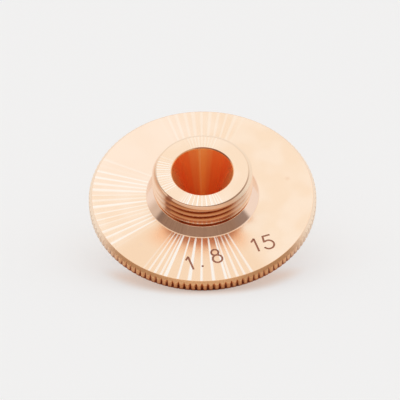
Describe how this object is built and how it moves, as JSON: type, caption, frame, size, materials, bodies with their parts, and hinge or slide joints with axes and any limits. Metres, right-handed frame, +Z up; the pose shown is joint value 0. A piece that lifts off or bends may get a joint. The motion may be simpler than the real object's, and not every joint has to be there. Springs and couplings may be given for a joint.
{
  "type": "laser cutting nozzle",
  "caption": "Copper nozzle for a laser cutting head, with a threaded neck, a knurled flange for the fingers and a tapered gas passage that ends in a small orifice.",
  "frame": {"origin": "on the bench, under the middle of the outline of the nozzle as it lies tipped over on the lower edge of its flange and the edge of its tip", "axes": "+Z up from the bench; +X across the flange's full width, along no edge of its own because the nozzle is round; the nozzle's axis lies in the YZ plane, its mouth leaning 31 degrees from +Z towards -Y"},
  "size_m": [0.032, 0.028, 0.0177],
  "materials": {
    "copper": "bare turned copper, faced on a lathe, bright and uncoated"
  },
  "bodies": {
    "root": {"nozzle": "copper"}
  },
  "joints": []
}
